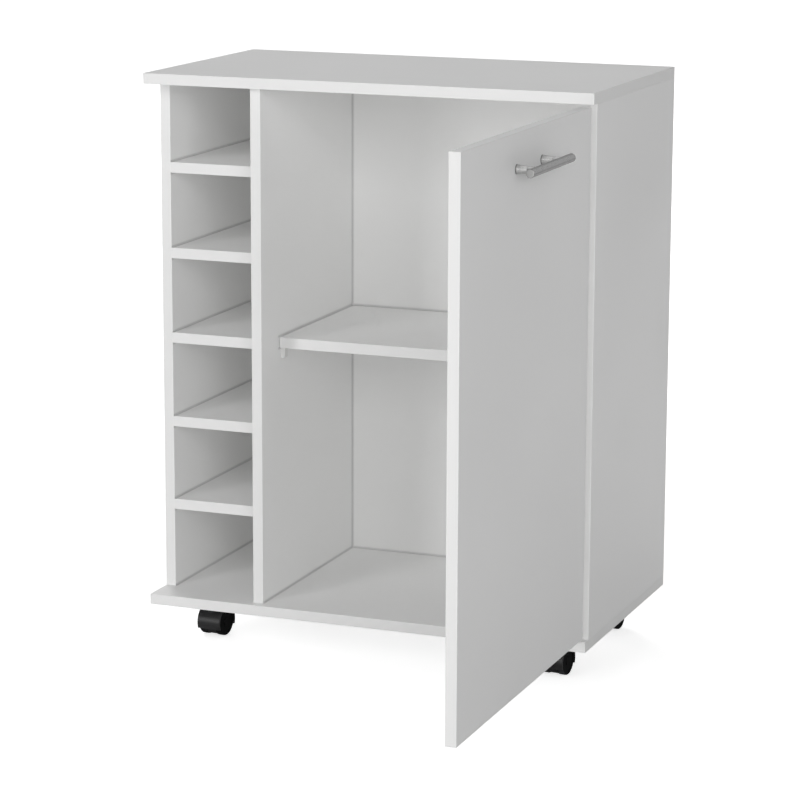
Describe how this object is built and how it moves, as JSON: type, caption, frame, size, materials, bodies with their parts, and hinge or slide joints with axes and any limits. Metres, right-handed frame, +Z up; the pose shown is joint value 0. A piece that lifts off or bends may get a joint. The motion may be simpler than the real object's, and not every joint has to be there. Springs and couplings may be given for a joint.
{
  "type": "bar cart",
  "caption": "White cabinet bar cart with open bottle cubbies beside a cupboard with a loose shelf, a slab door on concealed hinges with a bar handle, and swivel casters.",
  "frame": {"origin": "on the floor under the centre of the top board", "axes": "+X to the right seen from the front, +Y to the back, +Z up; the door is stored open at a right angle"},
  "size_m": [0.6745, 0.8565, 0.809],
  "materials": {
    "white_melamine": "smooth white melamine on chipboard, taped edges",
    "white_hardboard": "thin hardboard, painted white inside and brown behind",
    "beech": "fluted beech, raw",
    "satin_steel": "satin brushed along the bar",
    "zinc_steel": "bright zinc or nickel plate",
    "white_plastic": "moulded, satin",
    "black_nylon": "moulded nylon, satin",
    "black_wheel": "moulded nylon wheel, satin tread"
  },
  "bodies": {
    "cabinet": {"top_dowels": "beech", "base_dowels": "beech", "bottle_shelf_dowels": "beech", "base_screws": "zinc_steel", "back_panel_nails": "zinc_steel", "corner_brackets": "white_plastic", "bracket_screws": "zinc_steel", "shelf_pegs": "white_plastic", "lower_hinge_plate": "zinc_steel", "lower_hinge_arm": "zinc_steel", "upper_hinge_plate": "zinc_steel", "upper_hinge_arm": "zinc_steel", "hinge_plate_screws": "zinc_steel", "hinge_clamp_screws": "zinc_steel", "hinge_link_pins": "zinc_steel", "front_left_caster_plate": "zinc_steel", "front_right_caster_plate": "zinc_steel", "back_left_caster_plate": "zinc_steel", "back_right_caster_plate": "zinc_steel", "caster_kingpins": "zinc_steel", "caster_plate_screws": "zinc_steel", "top_panel": "white_melamine", "bottom_panel": "white_melamine", "left_side_panel": "white_melamine", "divider_panel": "white_melamine", "right_side_panel": "white_melamine", "back_panel": "white_hardboard", "bottle_shelf_1": "white_melamine", "bottle_shelf_2": "white_melamine", "bottle_shelf_3": "white_melamine", "bottle_shelf_4": "white_melamine", "bottle_shelf_5": "white_melamine", "cupboard_shelf": "white_melamine"},
    "door": {"door_panel": "white_melamine", "handle_bar": "satin_steel", "handle_post_free_side": "satin_steel", "handle_post_hinge_side": "satin_steel", "handle_screws": "zinc_steel", "lower_hinge_cup": "zinc_steel", "upper_hinge_cup": "zinc_steel", "hinge_cup_screws": "zinc_steel"},
    "hinge_links": {"lower_hinge_link": "zinc_steel", "upper_hinge_link": "zinc_steel"},
    "front_left_caster": {"front_left_caster_hood": "black_nylon", "front_left_caster_axle": "zinc_steel"},
    "front_left_left_wheel": {"front_left_caster_left_wheel": "black_wheel"},
    "front_left_right_wheel": {"front_left_caster_right_wheel": "black_wheel"},
    "front_right_caster": {"front_right_caster_hood": "black_nylon", "front_right_caster_axle": "zinc_steel"},
    "front_right_left_wheel": {"front_right_caster_left_wheel": "black_wheel"},
    "front_right_right_wheel": {"front_right_caster_right_wheel": "black_wheel"},
    "back_left_caster": {"back_left_caster_hood": "black_nylon", "back_left_caster_axle": "zinc_steel"},
    "back_left_left_wheel": {"back_left_caster_left_wheel": "black_wheel"},
    "back_left_right_wheel": {"back_left_caster_right_wheel": "black_wheel"},
    "back_right_caster": {"back_right_caster_hood": "black_nylon", "back_right_caster_axle": "zinc_steel"},
    "back_right_left_wheel": {"back_right_caster_left_wheel": "black_wheel"},
    "back_right_right_wheel": {"back_right_caster_right_wheel": "black_wheel"}
  },
  "joints": [
    {"name": "door_swing", "type": "hinge", "parent": "cabinet", "child": "door", "pos_m": [0.317, -0.1865, 0.072], "axis": [0, 0, 1], "range_deg": [-90, 5]},
    {"name": "hinge_link_turn", "type": "hinge", "parent": "cabinet", "child": "hinge_links", "pos_m": [0.301, -0.177, 0.072], "axis": [0, 0, 1], "range_deg": [-104, 6]},
    {"name": "front_left_swivel", "type": "hinge", "parent": "cabinet", "child": "front_left_caster", "pos_m": [-0.257, -0.12, 0.057], "axis": [0, 0, 1], "continuous": true},
    {"name": "front_left_left_wheel_spin", "type": "hinge", "parent": "front_left_caster", "child": "front_left_left_wheel", "pos_m": [-0.25595, -0.10805, 0.02], "axis": [0.9962, -0.0872, 0], "continuous": true},
    {"name": "front_left_right_wheel_spin", "type": "hinge", "parent": "front_left_caster", "child": "front_left_right_wheel", "pos_m": [-0.25595, -0.10805, 0.02], "axis": [0.9962, -0.0872, 0], "continuous": true},
    {"name": "front_right_swivel", "type": "hinge", "parent": "cabinet", "child": "front_right_caster", "pos_m": [0.257, -0.12, 0.057], "axis": [0, 0, 1], "continuous": true},
    {"name": "front_right_left_wheel_spin", "type": "hinge", "parent": "front_right_caster", "child": "front_right_left_wheel", "pos_m": [0.25805, -0.10805, 0.02], "axis": [0.9962, -0.0872, 0], "continuous": true},
    {"name": "front_right_right_wheel_spin", "type": "hinge", "parent": "front_right_caster", "child": "front_right_right_wheel", "pos_m": [0.25805, -0.10805, 0.02], "axis": [0.9962, -0.0872, 0], "continuous": true},
    {"name": "back_left_swivel", "type": "hinge", "parent": "cabinet", "child": "back_left_caster", "pos_m": [-0.257, 0.12, 0.057], "axis": [0, 0, 1], "continuous": true},
    {"name": "back_left_left_wheel_spin", "type": "hinge", "parent": "back_left_caster", "child": "back_left_left_wheel", "pos_m": [-0.25595, 0.13195, 0.02], "axis": [0.9962, -0.0872, 0], "continuous": true},
    {"name": "back_left_right_wheel_spin", "type": "hinge", "parent": "back_left_caster", "child": "back_left_right_wheel", "pos_m": [-0.25595, 0.13195, 0.02], "axis": [0.9962, -0.0872, 0], "continuous": true},
    {"name": "back_right_swivel", "type": "hinge", "parent": "cabinet", "child": "back_right_caster", "pos_m": [0.257, 0.12, 0.057], "axis": [0, 0, 1], "continuous": true},
    {"name": "back_right_left_wheel_spin", "type": "hinge", "parent": "back_right_caster", "child": "back_right_left_wheel", "pos_m": [0.25805, 0.13195, 0.02], "axis": [0.9962, -0.0872, 0], "continuous": true},
    {"name": "back_right_right_wheel_spin", "type": "hinge", "parent": "back_right_caster", "child": "back_right_right_wheel", "pos_m": [0.25805, 0.13195, 0.02], "axis": [0.9962, -0.0872, 0], "continuous": true}
  ],
  "couplings": [
    {"joint": "hinge_link_turn", "follows": "door_swing", "ratio": 1.15}
  ]
}
